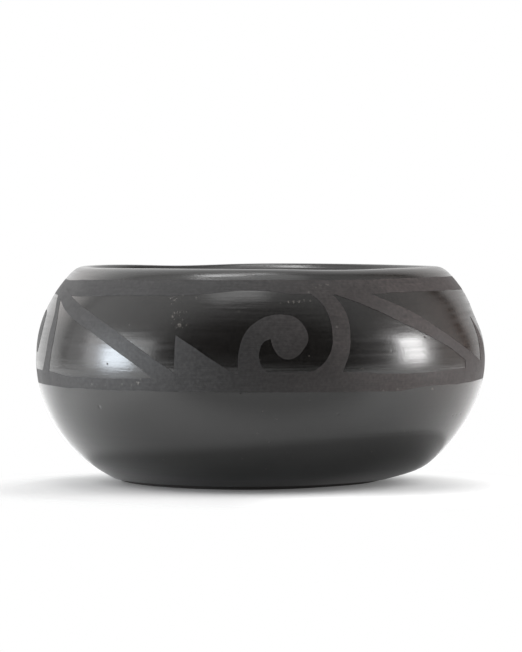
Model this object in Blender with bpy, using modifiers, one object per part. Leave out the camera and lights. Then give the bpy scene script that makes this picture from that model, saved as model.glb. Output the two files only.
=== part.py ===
"""Blackware bowl: a coil-built clay body, its burnished slip coat and the matte slip painted on it.

Metres, +Z up. The origin is the middle of the flat foot, and the front is towards -Y.
Every layer is drawn from one turned wall: the clay's own profile, moved outwards by the
thickness of what lies under the layer. The layers are drawn thicker than the real films,
so that each is a solid of its own with a fine gap to the one below.
"""

import math

import bmesh
import bpy
from mathutils import Vector

# Outside of the finished bowl
BELLY_RADIUS = 0.1156
BELLY_HEIGHT = 0.0640
RIM_HEIGHT = 0.1113
RIM_INSET = 0.0212  # how far the shoulder leans in from the belly by the rim's height
FOOT_RADIUS = 0.0705  # where the wall's curve meets the resting plane

# Clay body
WALL_THICKNESS = 0.0058
FLOOR_THICKNESS = 0.0075
LIP_OUTER_ROUND = 0.0038  # how far below the rim the lip starts to turn over, outside
LIP_INNER_ROUND = 0.0030
FOOT_EDGE_ROUND = 0.0028
FLOOR_CORNER_RISE = 0.0090  # how far up the inside the floor's rounding reaches

# Burnished slip coat
SLIP_THICKNESS = 0.0005
SLIP_START_HEIGHT = 0.0026  # bare clay is left round the foot
SLIP_DEPTH_INSIDE = 0.0220  # how far the polish reaches down the inside

# Matte slip painting
PAINT_THICKNESS = 0.0004
LAYER_GAP = 0.0003  # between two layers, and between two painted figures that meet
UPPER_BORDER_DROP = 0.0052  # the border's top edge, below the clay's rim
UPPER_BORDER_WIDTH = 0.0067
LOWER_BORDER_DROP = 0.0050  # the border's top edge, below the belly's widest line
LOWER_BORDER_WIDTH = 0.0071

# The painted field between the borders holds four units, the front one a little wider
UNIT_COUNT = 4
FRONT_UNIT_START_DEG = -21.4  # from the front, positive towards +X
FRONT_UNIT_SPAN_DEG = 97.0

# Widths along a unit, as shares of its span
TRIANGLE_RUN_SHARE = 0.167
HOOK_ARM_SHARE = 0.053
HOOK_NOTCH_SHARE = 0.028
HOOK_BULB_SHARE = 0.097
POND_SHARE = 0.065
POND_CORNER_SHARE = 0.056  # how much of the pond's floor turns up into the arc
ARC_SHARE = 0.050
DIAGONAL_SHARE = 0.116
DIAGONAL_FOOT_SHARE = 0.080

# Heights in the painted field, as shares of its height
TRIANGLE_RISE_SHARE = 0.51
HOOK_TOP_SHARE = 0.772
HOOK_TURN_SHARE = 0.274  # where the hook's arm is upright
BULB_MIDDLE_SHARE = 0.465
BULB_BOTTOM_SHARE = 0.210
POND_FLOOR_SHARE = 0.044
ARC_TURN_SHARE = 0.570  # where the arc stands furthest out
ARC_REACH_SHARE = 0.085  # how far the arc leans back from there, in shares of the span
ARC_OVERRUN_SHARE = 0.050  # how far past the field's edge it would lean over level
DIAGONAL_FOOT_RISE_SHARE = 0.09

# Facets
SEGMENTS = 60
SHOULDER_STEPS = 5
BASIN_STEPS = 7
INNER_WALL_STEPS = 4
POLISH_STEPS = 2  # down the polished stretch of the inside
CORNER_STEPS = 3
TURN_STEPS = 5  # along each quarter turn of a painted edge
MERGE_DISTANCE = 0.000001
CREASE_ANGLE_DEG = 40.0

SKIN = LAYER_GAP + SLIP_THICKNESS
CLAY_RADIUS = BELLY_RADIUS - SKIN
CLAY_RIM = RIM_HEIGHT - SKIN
SHOULDER_RISE = (CLAY_RIM - BELLY_HEIGHT) / math.sqrt(1 - (1 - RIM_INSET / CLAY_RADIUS) ** 2)
BASIN_RISE = BELLY_HEIGHT / math.sqrt(1 - (FOOT_RADIUS / CLAY_RADIUS) ** 2)
UPPER_BORDER_TOP = CLAY_RIM - UPPER_BORDER_DROP
UPPER_BORDER_BOTTOM = UPPER_BORDER_TOP - UPPER_BORDER_WIDTH
LOWER_BORDER_TOP = BELLY_HEIGHT - LOWER_BORDER_DROP
LOWER_BORDER_BOTTOM = LOWER_BORDER_TOP - LOWER_BORDER_WIDTH
FIELD_BOTTOM = LOWER_BORDER_TOP + LAYER_GAP
FIELD_TOP = UPPER_BORDER_BOTTOM - LAYER_GAP
PAINT_UNDERSIDE = SKIN + LAYER_GAP
FACET_ANGLE = math.tau / SEGMENTS
FRONT_AZIMUTH = -math.pi / 2


def clear_scene():
    """Remove whatever the file holds."""
    for item in list(bpy.data.objects):
        bpy.data.objects.remove(item)


def fired_finish(name, colour, roughness):
    """A fired, unglazed surface."""
    finish = bpy.data.materials.new(name)
    finish.use_nodes = True
    shader = finish.node_tree.nodes["Principled BSDF"]
    shader.inputs["Base Color"].default_value = (*colour, 1.0)
    shader.inputs["Roughness"].default_value = roughness
    shader.inputs["Metallic"].default_value = 0.0
    return finish


def add_object(name, mesh, finish):
    """Put a mesh in the bowl's collection, with its finish."""
    mesh.materials.clear()
    mesh.materials.append(finish)
    item = bpy.data.objects.new(name, mesh)
    bowl.objects.link(item)
    return item


# The wall's profile, as points of radius and height


def wall_rise(height, inset):
    """Half the height of the ellipse that the wall follows, above or below the belly."""
    whole = SHOULDER_RISE if height > BELLY_HEIGHT else BASIN_RISE
    return whole - inset


def wall_rows(start, end, inset, steps):
    """Points at equal angles along the wall between two heights on one side of the belly."""
    rise = wall_rise((start + end) / 2, inset)
    first = math.asin((start - BELLY_HEIGHT) / rise)
    last = math.asin((end - BELLY_HEIGHT) / rise)
    rows = []
    for step in range(steps + 1):
        angle = first + (last - first) * step / steps
        radius = (CLAY_RADIUS - inset) * math.cos(angle)
        rows.append(Vector((radius, BELLY_HEIGHT + rise * math.sin(angle))))
    return rows


def tangent_corner(row, height, inset):
    """Where the wall's tangent at a row reaches a height."""
    steepness = ((CLAY_RADIUS - inset) / wall_rise(row.y, inset)) ** 2
    lean = -steepness * (row.y - BELLY_HEIGHT) / row.x
    return Vector((row.x + lean * (height - row.y), height))


def rounded(start, corner, end, steps):
    """Points of a curve that starts and ends along the two sides of a corner."""
    shares = [step / steps for step in range(steps + 1)]
    return [start.lerp(corner, t).lerp(corner.lerp(end, t), t) for t in shares]


def joined(*stretches):
    """Stretches of a profile in one list, each joint written once."""
    rows = list(stretches[0])
    for stretch in stretches[1:]:
        rows += stretch[1:]
    return rows


def moved_outwards(rows, distance):
    """An open profile moved sideways, each stretch staying parallel to itself."""
    moved = []
    for index, row in enumerate(rows):
        before = row - rows[index - 1] if index else rows[1] - row
        after = rows[index + 1] - row if index < len(rows) - 1 else before
        side_before = Vector((-before.y, before.x)).normalized()
        side_after = Vector((-after.y, after.x)).normalized()
        side = (side_before + side_after).normalized()
        moved.append(row + side * distance / side.dot(side_after))
    return moved


def inner_rows():
    """The inside from the floor's middle to where the polish ends."""
    inset = WALL_THICKNESS
    polish_end = CLAY_RIM - SLIP_DEPTH_INSIDE
    corner_height = FLOOR_THICKNESS + FLOOR_CORNER_RISE
    corner_top = wall_rows(corner_height, BELLY_HEIGHT, inset, INNER_WALL_STEPS)[0]
    corner = tangent_corner(corner_top, FLOOR_THICKNESS, inset)
    corner_end = Vector((corner.x - (corner_top - corner).length, FLOOR_THICKNESS))
    floor = [Vector((0, FLOOR_THICKNESS)), corner_end]
    turn = rounded(corner_end, corner, corner_top, CORNER_STEPS)
    basin = wall_rows(corner_top.y, BELLY_HEIGHT, inset, INNER_WALL_STEPS)
    shoulder = wall_rows(BELLY_HEIGHT, polish_end, inset, INNER_WALL_STEPS)
    return joined(floor, turn, basin, shoulder)


def outer_wall_rows():
    """The clay's outer wall, from the lip down to the foot, which the painting is laid on."""
    shoulder = wall_rows(CLAY_RIM - LIP_OUTER_ROUND, BELLY_HEIGHT, 0, SHOULDER_STEPS)
    basin = wall_rows(BELLY_HEIGHT, SLIP_START_HEIGHT, 0, BASIN_STEPS)
    return joined(shoulder, basin)


def coated_rows():
    """What the slip covers: the inside's last stretch, the lip and the whole outer wall."""
    polish_end = CLAY_RIM - SLIP_DEPTH_INSIDE
    inside = wall_rows(polish_end, CLAY_RIM - LIP_INNER_ROUND, WALL_THICKNESS, POLISH_STEPS)
    outside = outer_wall_rows()
    inner_corner = tangent_corner(inside[-1], CLAY_RIM, WALL_THICKNESS)
    outer_corner = tangent_corner(outside[0], CLAY_RIM, 0)
    lip_top = (inner_corner + outer_corner) / 2
    inner_turn = rounded(inside[-1], inner_corner, lip_top, CORNER_STEPS)
    outer_turn = rounded(lip_top, outer_corner, outside[0], CORNER_STEPS)
    return joined(inside, inner_turn, outer_turn, outside)


def foot_rows(start):
    """The foot's rounded edge and its flat face, to the axis."""
    corner = tangent_corner(start, 0, 0)
    end = Vector((corner.x - FOOT_EDGE_ROUND, 0))
    return joined(rounded(start, corner, end, CORNER_STEPS), [end, Vector((0, 0))])


# Turned pieces


def turned(name, rows, finish, closed=False):
    """A profile turned round the bowl's axis."""
    mesh = bpy.data.meshes.new(name)
    edges = [(index, index + 1) for index in range(len(rows) - 1)]
    if closed:
        edges.append((len(rows) - 1, 0))
    mesh.from_pydata([(row.x, 0, row.y) for row in rows], edges, [])
    item = add_object(name, mesh, finish)
    screw = item.modifiers.new("turn", "SCREW")
    screw.axis = "Z"
    screw.angle = math.tau
    screw.steps = SEGMENTS
    screw.render_steps = SEGMENTS
    screw.use_merge_vertices = True
    screw.merge_threshold = MERGE_DISTANCE
    screw.use_smooth_shade = True
    return item


def add_clay_body():
    """The fired body: foot, belly, incurved shoulder and rounded lip in one piece of clay."""
    coated = coated_rows()
    rows = joined(inner_rows(), coated, foot_rows(coated[-1]))
    turned("clay_body", rows, fired_finish("smoked_clay", (0.030, 0.027, 0.025), 0.70))


def add_slip_coat():
    """The burnished skin, from just above the foot, over the lip and down the inside."""
    rows = moved_outwards(coated_rows(), LAYER_GAP)
    burnished = fired_finish("burnished_slip", (0.013, 0.013, 0.014), 0.18)
    coat = turned("burnished_slip_coat", rows, burnished)
    skin = coat.modifiers.new("thickness", "SOLIDIFY")
    skin.thickness = SLIP_THICKNESS
    skin.offset = 1
    skin.use_even_offset = True


def add_border(name, top, bottom, finish):
    """A painted line that runs right round the bowl."""
    wall = outer_wall_rows()
    between = [row.y for row in wall if bottom < row.y < top]
    heights = [top, *between, bottom]
    outside = [laid_on_wall(wall, height, PAINT_UNDERSIDE + PAINT_THICKNESS) for height in heights]
    inside = [laid_on_wall(wall, height, PAINT_UNDERSIDE) for height in reversed(heights)]
    turned(name, outside + inside, finish, closed=True)


# Painted figures, drawn flat and then laid on the wall


def laid_on_wall(wall, height, distance):
    """Radius and height of a point that lies off the wall's facets by a distance."""
    moved = moved_outwards(wall, distance)
    for index in range(len(wall) - 1):
        upper, lower = wall[index], wall[index + 1]
        if height >= lower.y:
            share = (upper.y - height) / (upper.y - lower.y)
            return moved[index].lerp(moved[index + 1], share)
    return moved[-1]


def facet_direction(azimuth):
    """The level direction to a point on the turned wall's flat facets."""
    facet = math.floor(azimuth / FACET_ANGLE)
    share = azimuth / FACET_ANGLE - facet
    start = Vector((math.cos(facet * FACET_ANGLE), math.sin(facet * FACET_ANGLE)))
    end = Vector((math.cos((facet + 1) * FACET_ANGLE), math.sin((facet + 1) * FACET_ANGLE)))
    return start.lerp(end, share)


def flat_slab(name, outline):
    """A closed slab as thick as the paint, its outline given in metres round the belly and up."""
    curve = bpy.data.curves.new(name, "CURVE")
    curve.dimensions = "2D"
    curve.fill_mode = "BOTH"
    curve.extrude = PAINT_THICKNESS / 2
    spline = curve.splines.new("POLY")
    spline.points.add(len(outline) - 1)
    for point, (along, up) in zip(spline.points, outline):
        point.co = (along, up, 0, 1)
    spline.use_cyclic_u = True
    guide = bpy.data.objects.new(name + "_outline", curve)
    bowl.objects.link(guide)
    evaluated = guide.evaluated_get(bpy.context.evaluated_depsgraph_get())
    mesh = bpy.data.meshes.new_from_object(evaluated)
    bpy.data.objects.remove(guide)
    mesh.name = name
    return mesh


def cut_along(form, place, normal):
    """Add edges where a flat figure crosses a line between facets."""
    geometry = form.verts[:] + form.edges[:] + form.faces[:]
    bmesh.ops.bisect_plane(form, geom=geometry, plane_co=place, plane_no=normal, dist=MERGE_DISTANCE)


def add_figure(name, outline, unit, finish):
    """One painted figure: an outline in shares of its unit and of the field, laid on the slip coat."""
    start, span = unit
    flat = []
    for along, up in outline:
        girth = (start + along * span) * BELLY_RADIUS
        flat.append((girth, FIELD_BOTTOM + up * (FIELD_TOP - FIELD_BOTTOM)))
    mesh = flat_slab(name, flat)
    form = bmesh.new()
    form.from_mesh(mesh)
    bmesh.ops.remove_doubles(form, verts=form.verts, dist=MERGE_DISTANCE)
    wall = outer_wall_rows()
    first = math.floor(min(point[0] for point in flat) / BELLY_RADIUS / FACET_ANGLE)
    last = math.ceil(max(point[0] for point in flat) / BELLY_RADIUS / FACET_ANGLE)
    for facet in range(first, last + 1):
        cut_along(form, (facet * FACET_ANGLE * BELLY_RADIUS, 0, 0), (1, 0, 0))
    for row in wall:
        cut_along(form, (0, row.y, 0), (0, 1, 0))
    for vertex in form.verts:
        girth, height, depth = vertex.co
        distance = PAINT_UNDERSIDE + PAINT_THICKNESS / 2 + depth
        place = laid_on_wall(wall, height, distance)
        level = facet_direction(girth / BELLY_RADIUS) * place.x
        vertex.co = (level.x, level.y, place.y)
    bmesh.ops.recalc_face_normals(form, faces=form.faces)
    form.to_mesh(mesh)
    form.free()
    mesh.shade_smooth()
    mesh.set_sharp_from_angle(angle=math.radians(CREASE_ANGLE_DEG))
    add_object(name, mesh, finish)


def quarter_turn(start, end, upright_first):
    """A quarter of an ellipse between two points, upright at one end and level at the other."""
    points = []
    for step in range(TURN_STEPS + 1):
        angle = math.pi / 2 * step / TURN_STEPS
        early, late = math.sin(angle), 1 - math.cos(angle)
        across, up = (late, early) if upright_first else (early, late)
        points.append((start[0] + (end[0] - start[0]) * across, start[1] + (end[1] - start[1]) * up))
    return points


def bowed_edge(furthest, bottom, top):
    """A side of the arc: an upright bow that stands furthest out at the arc's turn."""
    bow = max(ARC_TURN_SHARE, 1 - ARC_TURN_SHARE) + ARC_OVERRUN_SHARE
    points = []
    steps = math.ceil(2 * TURN_STEPS * (top - bottom))
    for step in range(steps + 1):
        up = bottom + (top - bottom) * step / steps
        lean = 1 - math.sqrt(1 - ((up - ARC_TURN_SHARE) / bow) ** 2)
        points.append((furthest - ARC_REACH_SHARE * lean, up))
    return points


def triangle_outline():
    """A right-angled triangle that stands on the lower border."""
    return [(0, 0), (TRIANGLE_RUN_SHARE, 0), (0, TRIANGLE_RISE_SHARE)]


def scroll_outline(hairline):
    """The hook and the arc that rises behind it, joined along their foot."""
    arm_left = TRIANGLE_RUN_SHARE + hairline
    arm_right = arm_left + HOOK_ARM_SHARE
    notch = arm_right + HOOK_NOTCH_SHARE
    bulb_right = notch + HOOK_BULB_SHARE
    bulb_middle = (notch + bulb_right) / 2
    pond_right = bulb_right + POND_SHARE
    arc_right = pond_right + ARC_SHARE
    outer_top = (bulb_middle, HOOK_TOP_SHARE)
    foot = [(arm_left, 0), (arm_left, HOOK_TURN_SHARE)]
    crest = quarter_turn(foot[-1], outer_top, True)
    brow = quarter_turn(outer_top, (bulb_right, BULB_MIDDLE_SHARE), False)
    chin = quarter_turn(brow[-1], (bulb_middle, BULB_BOTTOM_SHARE), True)
    cheek = quarter_turn(chin[-1], (notch, BULB_MIDDLE_SHARE), False)
    throat = quarter_turn(cheek[-1], (arm_right, HOOK_TURN_SHARE), False)
    heel = quarter_turn(throat[-1], (notch, POND_FLOOR_SHARE), True)
    pond_end = (pond_right - POND_CORNER_SHARE, POND_FLOOR_SHARE)
    inner_corner = quarter_turn(pond_end, (pond_right, ARC_TURN_SHARE), False)
    inner_side = joined(inner_corner, bowed_edge(pond_right, ARC_TURN_SHARE, 1))
    outer_side = bowed_edge(arc_right, 0, 1)
    outer_side.reverse()
    return joined(foot, crest, brow, chin, cheek, throat, heel) + inner_side + outer_side


def diagonal_outline(hairline):
    """The broad slanting bar from the arc's head down to the next unit's triangle."""
    hook_right = TRIANGLE_RUN_SHARE + hairline + HOOK_ARM_SHARE + HOOK_NOTCH_SHARE + HOOK_BULB_SHARE
    arc_right = hook_right + POND_SHARE + ARC_SHARE
    head_left = bowed_edge(arc_right, 0, 1)[-1][0] + hairline
    end = 1 - hairline
    return [
        (head_left, 1),
        (end - DIAGONAL_FOOT_SHARE, 0),
        (end, 0),
        (end, DIAGONAL_FOOT_RISE_SHARE),
        (head_left + DIAGONAL_SHARE, 1),
    ]


def pattern_units():
    """Each unit's start and span as azimuths, the front one first."""
    front_start = FRONT_AZIMUTH + math.radians(FRONT_UNIT_START_DEG)
    front_span = math.radians(FRONT_UNIT_SPAN_DEG)
    other_span = (math.tau - front_span) / (UNIT_COUNT - 1)
    units = [(front_start, front_span)]
    for index in range(UNIT_COUNT - 1):
        units.append((front_start + front_span + index * other_span, other_span))
    return units


def add_painting():
    """The two borders and the figures between them."""
    matte = fired_finish("matte_slip", (0.056, 0.050, 0.046), 0.62)
    add_border("matte_border_upper", UPPER_BORDER_TOP, UPPER_BORDER_BOTTOM, matte)
    add_border("matte_border_lower", LOWER_BORDER_TOP, LOWER_BORDER_BOTTOM, matte)
    for number, unit in enumerate(pattern_units(), start=1):
        hairline = LAYER_GAP / (unit[1] * BELLY_RADIUS)
        add_figure(f"matte_triangle_{number}", triangle_outline(), unit, matte)
        add_figure(f"matte_scroll_{number}", scroll_outline(hairline), unit, matte)
        add_figure(f"matte_diagonal_{number}", diagonal_outline(hairline), unit, matte)


clear_scene()
bowl = bpy.data.collections.new("blackware_bowl")
bpy.context.scene.collection.children.link(bowl)
add_clay_body()
add_slip_coat()
add_painting()
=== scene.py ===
"""Blackware bowl: smoked clay, a stone-burnished slip coat and figures brushed on in matte slip.

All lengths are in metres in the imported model's frame: +Z is up, the foot's middle is the
origin and the front is towards -Y. Azimuths are in degrees from the front, positive towards +X.
"""

import logging
import math
from collections.abc import Iterator
from contextlib import contextmanager
from dataclasses import dataclass, replace
from enum import Enum

import bpy
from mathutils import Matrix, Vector, noise


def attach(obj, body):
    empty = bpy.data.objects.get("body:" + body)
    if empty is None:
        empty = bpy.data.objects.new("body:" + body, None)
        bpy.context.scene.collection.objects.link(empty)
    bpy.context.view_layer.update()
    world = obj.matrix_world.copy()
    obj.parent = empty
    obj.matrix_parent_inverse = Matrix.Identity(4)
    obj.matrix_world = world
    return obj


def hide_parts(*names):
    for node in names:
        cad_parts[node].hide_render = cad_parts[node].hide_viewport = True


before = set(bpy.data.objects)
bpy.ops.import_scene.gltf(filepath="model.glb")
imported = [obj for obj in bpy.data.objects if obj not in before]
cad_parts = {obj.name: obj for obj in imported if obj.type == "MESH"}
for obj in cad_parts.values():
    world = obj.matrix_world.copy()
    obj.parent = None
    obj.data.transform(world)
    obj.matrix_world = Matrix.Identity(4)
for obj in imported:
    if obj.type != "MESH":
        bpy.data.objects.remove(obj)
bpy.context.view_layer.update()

Colour = tuple[float, float, float, float]
Item = bpy.types.Object
Material = bpy.types.Material
Pair = tuple[float, float]
Source = bpy.types.Node | bpy.types.NodeSocket

MM = 0.001
IMAGE_WIDTH, IMAGE_HEIGHT = 522, 652
CREASE_DEG = 50
POLE_SIZE = 0.001
HAND_SEED = 7  # without a seed, the noise that moves the brush would start from the clock
NOISE_SPAN = (0.30, 0.70)
SMOOTH = {"interpolation_type": "SMOOTHSTEP"}
COLOURS = {"data_type": "RGBA"}

log = logging.getLogger("blackware_bowl")


# Small tools


def linear(hex_colour: str) -> Colour:
    """Turn an sRGB hex colour to linear light.

    Args:
        hex_colour: six hex digits after a hash sign.

    Returns:
        Red, green, blue and an alpha of one.
    """
    shares = [int(hex_colour[index : index + 2], 16) / 255 for index in (1, 3, 5)]
    red, green, blue = (s / 12.92 if s <= 0.04045 else ((s + 0.055) / 1.055) ** 2.4 for s in shares)
    return red, green, blue, 1.0


class Nodes:
    """A node tree in the making, with the coordinates that its patterns lie in."""

    def __init__(self, owner: Material | bpy.types.World, coordinates: str = "Object") -> None:
        """Clear a node tree and give it its coordinates.

        Args:
            owner: the material or world that the tree belongs to.
            coordinates: the kind of coordinates.
        """
        owner.use_nodes = True
        self.tree = owner.node_tree
        self.tree.nodes.clear()
        self.place = self.add("TexCoord").outputs[coordinates]

    def add(self, kind: str, *values: object, **named: object) -> bpy.types.Node:
        """Add a node with its settings, its values and its links.

        Args:
            kind: the node's type name after its "ShaderNode".
            *values: what its inputs in use hold, in order: a value, or what to link from.
            **named: its own settings, in lower case, and what other inputs hold.

        Returns:
            The node, which stands for its first output in use where it is linked from.
        """
        node = self.tree.nodes.new("ShaderNode" + kind)
        for name, value in named.items():
            if name.islower():
                setattr(node, name, value)
        held = list(zip((socket for socket in node.inputs if socket.enabled), values))
        held += [(node.inputs[name.replace("_", " ")], named[name]) for name in named if not name.islower()]
        for socket, value in held:
            if isinstance(value, bpy.types.Node):
                value = next(output for output in value.outputs if output.enabled)
            if isinstance(value, bpy.types.NodeSocket):
                self.tree.links.new(value, socket)
            else:
                socket.default_value = value
        return node

    def fold(self, operation: str, *sources: Source | float) -> Source:
        """Join numbers in one.

        Args:
            operation: what two numbers are joined by.
            *sources: the numbers.

        Returns:
            The outcome.
        """
        whole = sources[0]
        for source in sources[1:]:
            whole = self.add("Math", whole, source, operation=operation)
        return whole


def select_only(item: Item) -> None:
    """Deselect everything else, and make one object active.

    Args:
        item: the object.
    """
    bpy.ops.object.select_all(action="DESELECT")
    item.select_set(True)
    bpy.context.view_layer.objects.active = item


@contextmanager
def edit_mode(item: Item) -> Iterator[None]:
    """Stay in edit mode on one object for as long as the block lasts.

    Args:
        item: the object.

    Yields:
        Nothing.
    """
    select_only(item)
    bpy.ops.object.mode_set(mode="EDIT")
    try:
        yield
    finally:
        bpy.ops.object.mode_set(mode="OBJECT")


def thicken(item: Item, **settings: object) -> None:
    """Turn a sheet's faces away from the bowl's axis and make it solid.

    Args:
        item: the sheet.
        **settings: the solidify modifier's settings.
    """
    faces = item.data.polygons
    if sum(face.area if face.normal.dot(face.center) < 0 else -face.area for face in faces) > 0:
        with edit_mode(item):
            bpy.ops.mesh.select_all(action="SELECT")
            bpy.ops.mesh.flip_normals()
    select_only(item)
    modifier = item.modifiers.new("solidify", "SOLIDIFY")
    for name, value in settings.items():
        setattr(modifier, name, value)
    bpy.ops.object.modifier_apply(modifier=modifier.name)


# The wall that every layer follows


@dataclass(frozen=True)
class HandMark:
    """A place where the hand-built wall leaves the true round form."""

    azimuth_deg: float
    height: float
    half_width_deg: float
    half_height: float
    outwards: float = 0.0
    upwards: float = 0.0

    def weight(self, azimuth_deg: float, height: float) -> float:
        """How strongly the mark acts at a place.

        Args:
            azimuth_deg: azimuth from the front.
            height: height over the table.

        Returns:
            From 0 to 1.
        """
        turn = (azimuth_deg - self.azimuth_deg + 180) % 360 - 180
        aside = (turn / self.half_width_deg) ** 2 + ((height - self.height) / self.half_height) ** 2
        return math.exp(-aside)


HAND_MARKS = (
    HandMark(-152.5, 0.111, 18, 0.012, upwards=-0.0010),
    HandMark(27, 0.111, 17, 0.010, upwards=-0.0006),
    HandMark(-66, 0.111, 20, 0.010, upwards=-0.0003),
    HandMark(118, 0.111, 30, 0.010, upwards=-0.0003),
    HandMark(-90, 0.022, 55, 0.015, outwards=0.0008),
    HandMark(90, 0.018, 50, 0.013, outwards=-0.0004),
    HandMark(90, 0.0865, 40, 0.008, outwards=-0.0010),
    HandMark(95, 0.000, 100, 0.0050, outwards=-0.0100),
    HandMark(42, 0.000, 36, 0.0050, outwards=-0.0085),
    HandMark(-50, 0.000, 32, 0.0050, outwards=-0.0035),
    HandMark(-90, 0.064, 45, 0.017, outwards=-0.0005),
)


@dataclass(frozen=True)
class Wall:
    """The finished outside of the bowl as two half ellipses, and the hand's departures from them."""

    belly_radius: float = 0.1156
    belly_height: float = 0.0640
    rim_height: float = 0.1113
    foot_radius: float = 0.0705
    crest_radius: float = 0.0902
    lip_roll: float = 0.0039
    lip_depth: float = 0.0045
    bevel_start: float = 0.0006
    bevel_end: float = 0.0021
    bevel_reach: float = 0.0030
    bevel_steepness: float = 1.07
    lip_inner_height: float = 0.0073
    lip_outer_height: float = 0.0041
    lip_steps: tuple[int, ...] = (6, 5, 3, 4, 8)
    lip_swell: float = 0.0020
    swell_start: float = 0.0880
    shoulder_rise: float = 0.08111
    basin_rise: float = 0.08189
    ripple: float = 0.00010
    ripple_length: float = 0.042
    marks: tuple[HandMark, ...] = HAND_MARKS

    def rise(self, height: float) -> float:
        """The ellipse's upright half axis above or below the belly line."""
        return self.shoulder_rise if height > self.belly_height else self.basin_rise

    def rows(self, start: float, end: float, steps: int, inset: float = 0.0) -> list[Vector]:
        """Points at equal angles along the wall, on one side of the belly line.

        Args:
            start: first height.
            end: last height.
            steps: number of stretches.
            inset: how much smaller the ellipse is than the outside.

        Returns:
            The profile's points as radius and height.
        """
        rise = self.rise((start + end) / 2) - inset
        first = math.asin((start - self.belly_height) / rise)
        last = math.asin((end - self.belly_height) / rise)
        points = []
        for step in range(steps + 1):
            angle = first + (last - first) * step / steps
            radius = (self.belly_radius - inset) * math.cos(angle)
            points.append(Vector((radius, self.belly_height + rise * math.sin(angle))))
        return points

    def tangent_corner(self, start: Vector, height: float, inset: float = 0.0) -> Vector:
        """Where the wall's tangent at a profile point reaches a height.

        Args:
            start: the profile point.
            height: the height.
            inset: how much smaller the ellipse is than the outside.

        Returns:
            The point there.
        """
        steepness = ((self.belly_radius - inset) / (self.rise(start.y) - inset)) ** 2
        lean = -steepness * (start.y - self.belly_height) / start.x
        return Vector((start.x + lean * (height - start.y), height))

    def swollen(self, inside: list[Vector]) -> list[Vector]:
        """Move an inside profile inwards towards the rim, where the wall thickens into the lip.

        Args:
            inside: the profile.

        Returns:
            The moved profile.
        """
        full = self.rim_height - self.lip_inner_height
        rows = []
        for point in inside:
            share = min(1.0, max(0.0, (point.y - self.swell_start) / (full - self.swell_start)))
            rows.append(Vector((point.x - self.lip_swell * share * share * (3 - 2 * share), point.y)))
        return rows

    def lip(self, inside: Vector, outside: Vector, inner_inset: float, outer_inset: float) -> list[Vector]:
        """The rim's edge: rolled over from the inside to the crest, then broadly round to the outside.

        Args:
            inside: the last profile point of the inside.
            outside: the first profile point of the outside.
            inner_inset: how much smaller the inside's ellipse is than the outside.
            outer_inset: how far this layer lies below the finished wall.

        Returns:
            The profile's points from the inside to the outside.
        """
        rim = self.rim_height - outer_inset
        crest = Vector((self.crest_radius, rim))
        innermost = Vector((self.crest_radius - self.lip_roll + outer_inset, rim - self.lip_depth))
        lean = (self.tangent_corner(inside, inside.y + MM, inner_inset).x - inside.x) / MM
        turn = Vector((innermost.x, inside.y + (innermost.x - inside.x) / lean))
        foot = crest - Vector((self.bevel_reach, self.bevel_end))
        height = self.bevel_end - self.bevel_start
        top = foot + Vector((height / self.bevel_steepness, height))
        inner_corner = Vector((innermost.x, foot.y - (foot.x - innermost.x) * self.bevel_steepness))
        top_corner = Vector((top.x + self.bevel_start / self.bevel_steepness, rim))
        outer_corner = self.tangent_corner(outside, rim, outer_inset)
        starts = (inside, innermost, foot, top, crest)
        corners = (turn, inner_corner, (foot + top) / 2, top_corner, outer_corner)
        ends = (innermost, foot, top, crest, outside)
        return joined(*map(rounded, starts, corners, ends, self.lip_steps))

    def shaped(self, place: Vector) -> Vector:
        """Move a point of the true round form as the hand moved the clay.

        Args:
            place: the point.

        Returns:
            The moved point.
        """
        azimuth = math.atan2(place.x, -place.y)
        level = Vector((math.sin(azimuth), -math.cos(azimuth), 0))
        outwards = self.ripple * noise.noise(place / self.ripple_length)
        upwards = 0.0
        for mark in self.marks:
            weight = mark.weight(math.degrees(azimuth), place.z)
            outwards += mark.outwards * weight
            upwards += mark.upwards * weight
        off_axis = min(1.0, math.hypot(place.x, place.y) / self.foot_radius)
        return place + level * outwards * off_axis + Vector((0, 0, upwards))

    def laid(self, azimuth_deg: float, height: float, distance: float) -> Vector:
        """A point that lies off the finished wall.

        Args:
            azimuth_deg: azimuth from the front.
            height: height of the wall's point.
            distance: distance off the wall, along its normal.

        Returns:
            The point, with the hand's departures in it.
        """
        rise = self.rise(height)
        angle = math.asin((height - self.belly_height) / rise)
        normal = Vector((math.cos(angle) / self.belly_radius, math.sin(angle) / rise)).normalized()
        point = Vector((self.belly_radius * math.cos(angle), height)) + normal * distance
        azimuth = math.radians(azimuth_deg)
        return self.shaped(Vector((point.x * math.sin(azimuth), -point.x * math.cos(azimuth), point.y)))


def rounded(start: Vector, corner: Vector, end: Vector, steps: int) -> list[Vector]:
    """Points of a curve that starts and ends along the two sides of a corner."""
    shares = [step / steps for step in range(steps + 1)]
    return [start.lerp(corner, t).lerp(corner.lerp(end, t), t) for t in shares]


def joined(*stretches: list[Vector]) -> list[Vector]:
    """Join stretches of a profile, with each joint written once.

    Args:
        *stretches: their points.

    Returns:
        One list.
    """
    rows = list(stretches[0])
    for stretch in stretches[1:]:
        rows += stretch[1:]
    return rows


# Finishes


@dataclass(frozen=True)
class SurfaceSpot:
    """A small mark of wear, placed on the wall."""

    azimuth_deg: float
    height: float
    radius: float
    deep_radius: float = 0.0011
    fading: float = 1.5

    def add_mask(self, nodes: Nodes, place: Source) -> Source:
        """Add a soft round mask, fainter for a small mark that doesn't reach the bare clay.

        Args:
            nodes: the finish's nodes.
            place: the coordinates.

        Returns:
            The mask, which is 0 outside the spot.
        """
        strength = min(1.0, (self.radius / self.deep_radius) ** self.fading)
        middle = Wall().laid(self.azimuth_deg, self.height, 0.0)
        away = nodes.add("VectorMath", place, middle, operation="DISTANCE")
        return nodes.add("MapRange", away, 0.0, self.radius, strength, 0.0, **SMOOTH)


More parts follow.
